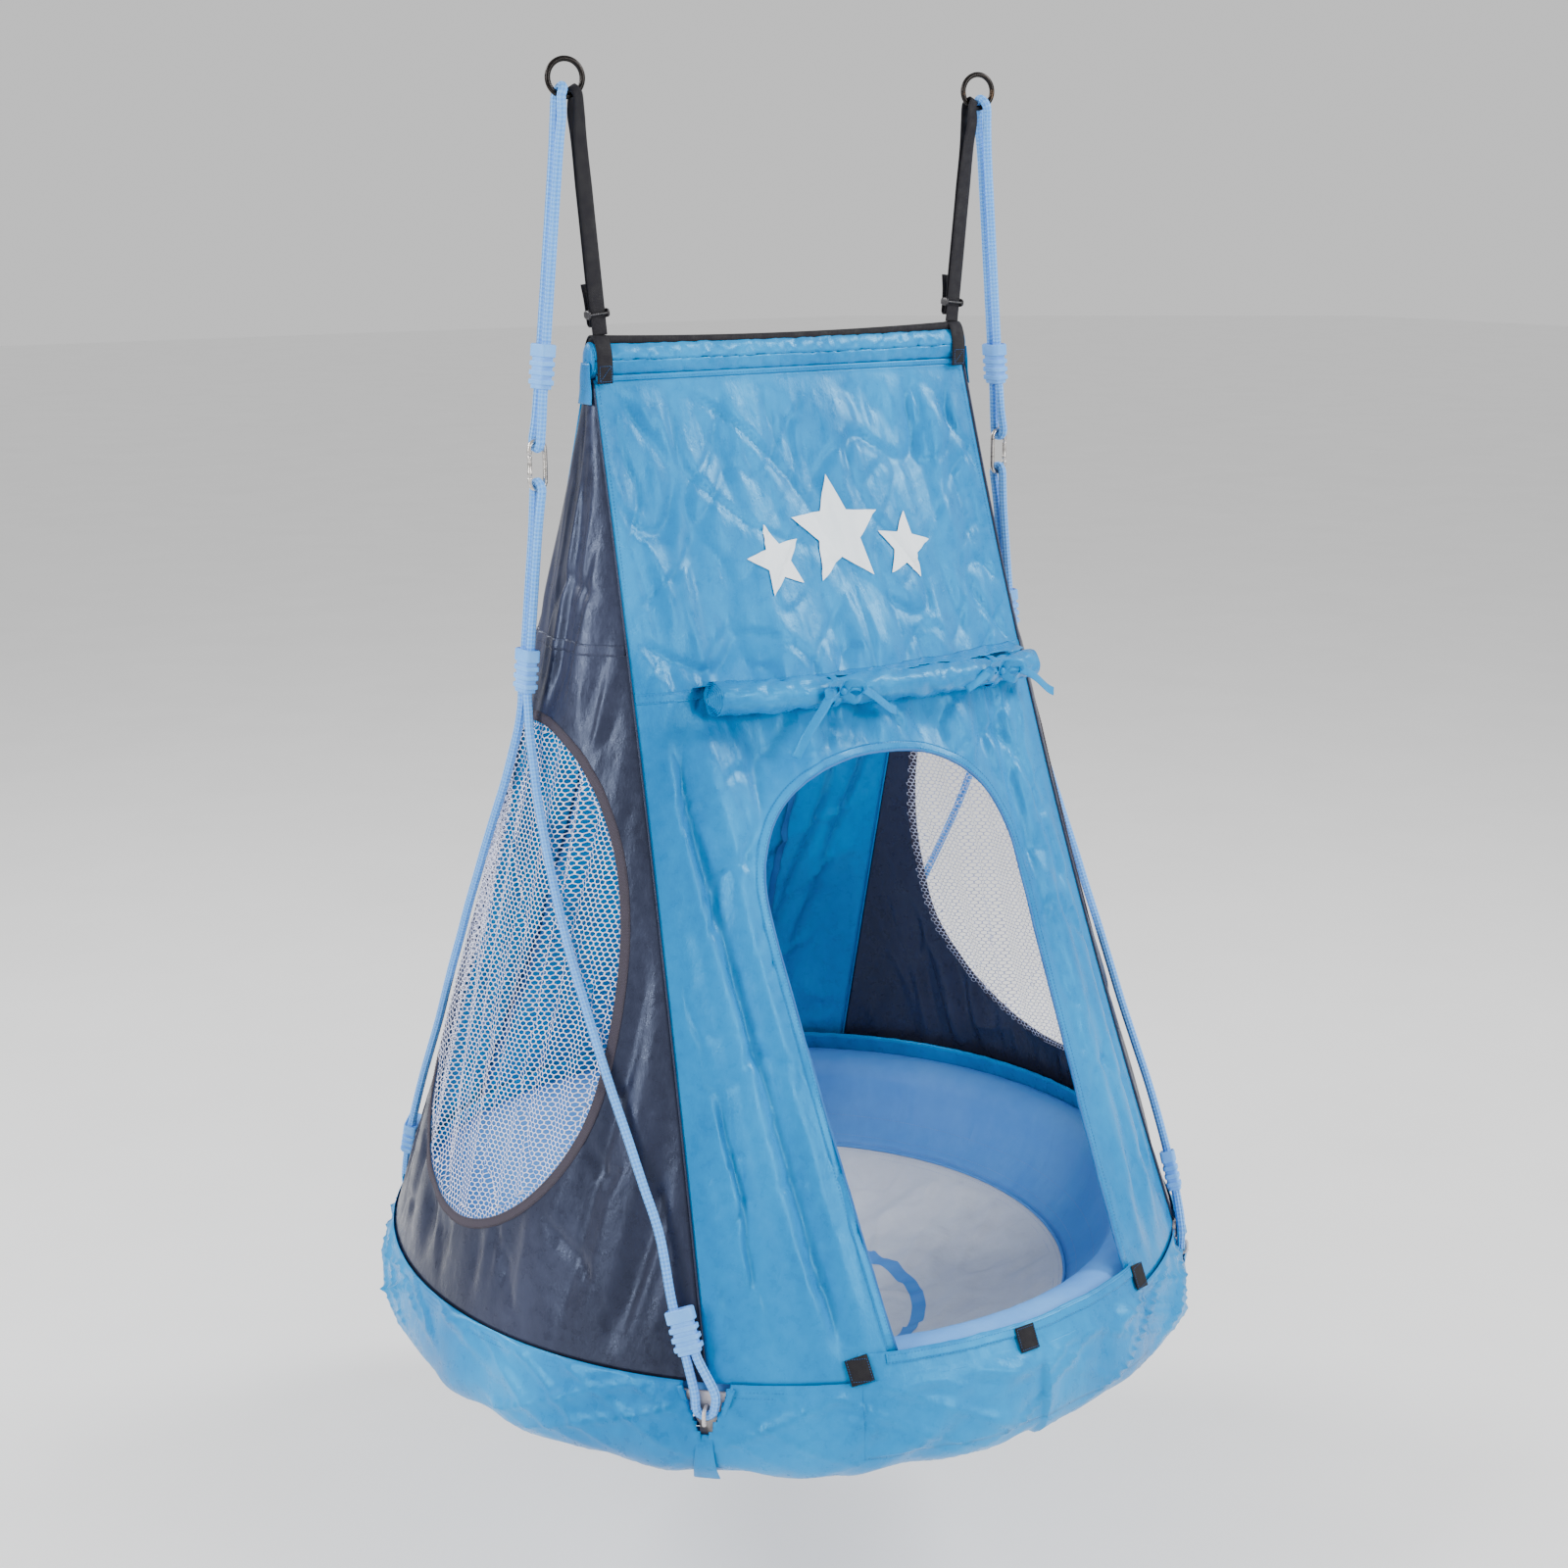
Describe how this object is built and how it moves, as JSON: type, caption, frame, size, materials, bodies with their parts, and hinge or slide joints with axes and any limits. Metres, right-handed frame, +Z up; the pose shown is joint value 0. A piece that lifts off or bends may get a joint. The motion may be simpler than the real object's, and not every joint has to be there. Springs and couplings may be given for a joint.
{
  "type": "saucer nest swing",
  "caption": "Round padded nest swing on adjustable ropes, with a ridge play tent over the seat that has a doorway, mesh side windows and an elastic skirt.",
  "frame": {"origin": "midpoint between the centres of the two hang rings", "axes": "+Z up, +X along the tent's ridge from the left ring to the right ring, -Y towards the door"},
  "size_m": [1.1524, 1.1524, 1.7873],
  "materials": {
    "black_steel": "satin black, brown where worn",
    "steel": "satin zinc",
    "lug_steel": "pale grey satin",
    "rope": "twisted pale blue rope",
    "clamp_plastic": "moulded pale blue",
    "foam": "soft foam",
    "tent_blue": "slightly shiny nylon",
    "tent_grey": "satin nylon",
    "window_mesh": "fine white net",
    "webbing": "woven tape",
    "seat_border": "pale blue coated cloth",
    "seat_middle": "pale grey coated cloth",
    "pole": "glass-fibre rod",
    "slider_plastic": "moulded",
    "elastic": "covered elastic"
  },
  "bodies": {
    "hang_rings": {"hang_ring_left": "black_steel", "hang_ring_right": "black_steel"},
    "swing": {"upper_rope_left": "rope", "lower_rope_left": "rope", "upper_clamp_left": "clamp_plastic", "carabiner_left": "steel", "ring_sleeve_left": "steel", "tent_strap_left": "webbing", "corner_patch_left": "webbing", "door_tab_left": "webbing", "tent_left_panel": "tent_grey", "mesh_window_left": "window_mesh", "door_tie_left": "tent_blue", "end_clamp_front_left": "clamp_plastic", "lug_front_left": "lug_steel", "lug_bolt_front_left": "steel", "end_clamp_back_left": "clamp_plastic", "lug_back_left": "lug_steel", "lug_bolt_back_left": "steel", "upper_rope_right": "rope", "lower_rope_right": "rope", "upper_clamp_right": "clamp_plastic", "carabiner_right": "steel", "ring_sleeve_right": "steel", "tent_strap_right": "webbing", "corner_patch_right": "webbing", "door_tab_right": "webbing", "tent_right_panel": "tent_grey", "mesh_window_right": "window_mesh", "door_tie_right": "tent_blue", "end_clamp_front_right": "clamp_plastic", "lug_front_right": "lug_steel", "lug_bolt_front_right": "steel", "end_clamp_back_right": "clamp_plastic", "lug_back_right": "lug_steel", "lug_bolt_back_right": "steel", "steel_ring_front": "steel", "tent_front_panel": "tent_blue", "steel_ring_back": "steel", "tent_back_panel": "tent_blue", "foam_front": "foam", "foam_back": "foam", "foam_left": "foam", "foam_right": "foam", "seat_cover": "seat_border", "seat_middle": "seat_middle", "skirt": "tent_blue", "ridge_sleeve": "tent_blue", "door_flap_roll": "tent_blue", "skirt_hem_elastic": "elastic", "ridge_binding": "webbing", "door_tab_middle": "webbing", "ridge_pole": "pole"},
    "middle_clamp_left": {"middle_clamp_left": "clamp_plastic"},
    "middle_clamp_right": {"middle_clamp_right": "clamp_plastic"},
    "carabiner_gate_left": {"carabiner_gate_left": "steel"},
    "carabiner_gate_right": {"carabiner_gate_right": "steel"},
    "strap_slider_left": {"strap_slider_left": "slider_plastic"},
    "strap_slider_right": {"strap_slider_right": "slider_plastic"}
  },
  "joints": [
    {"name": "swing_hinge", "type": "hinge", "parent": "hang_rings", "child": "swing", "pos_m": [0, 0, -0.0204], "axis": [1, 0, 0], "range_deg": [-30, 30]},
    {"name": "middle_clamp_left_slide", "type": "slide", "parent": "swing", "child": "middle_clamp_left", "axis": [0.1012, 0, 0.9949], "range_m": [0, 0.11]},
    {"name": "carabiner_gate_left_hinge", "type": "hinge", "parent": "swing", "child": "carabiner_gate_left", "pos_m": [-0.393, 0, -0.486], "axis": [0, 1, 0], "range_deg": [0, 25], "stiffness_Nm_per_rad": 0.06},
    {"name": "strap_slider_left_slide", "type": "slide", "parent": "swing", "child": "strap_slider_left", "axis": [-0.1, 0, 0.995], "range_m": [0, 0.06]},
    {"name": "middle_clamp_right_slide", "type": "slide", "parent": "swing", "child": "middle_clamp_right", "axis": [-0.1156, 0, 0.9933], "range_m": [0, 0.11]},
    {"name": "carabiner_gate_right_hinge", "type": "hinge", "parent": "swing", "child": "carabiner_gate_right", "pos_m": [0.393, 0, -0.515], "axis": [0, -1, 0], "range_deg": [0, 25], "stiffness_Nm_per_rad": 0.06},
    {"name": "strap_slider_right_slide", "type": "slide", "parent": "swing", "child": "strap_slider_right", "axis": [0.1, 0, 0.995], "range_m": [0, 0.06]}
  ]
}
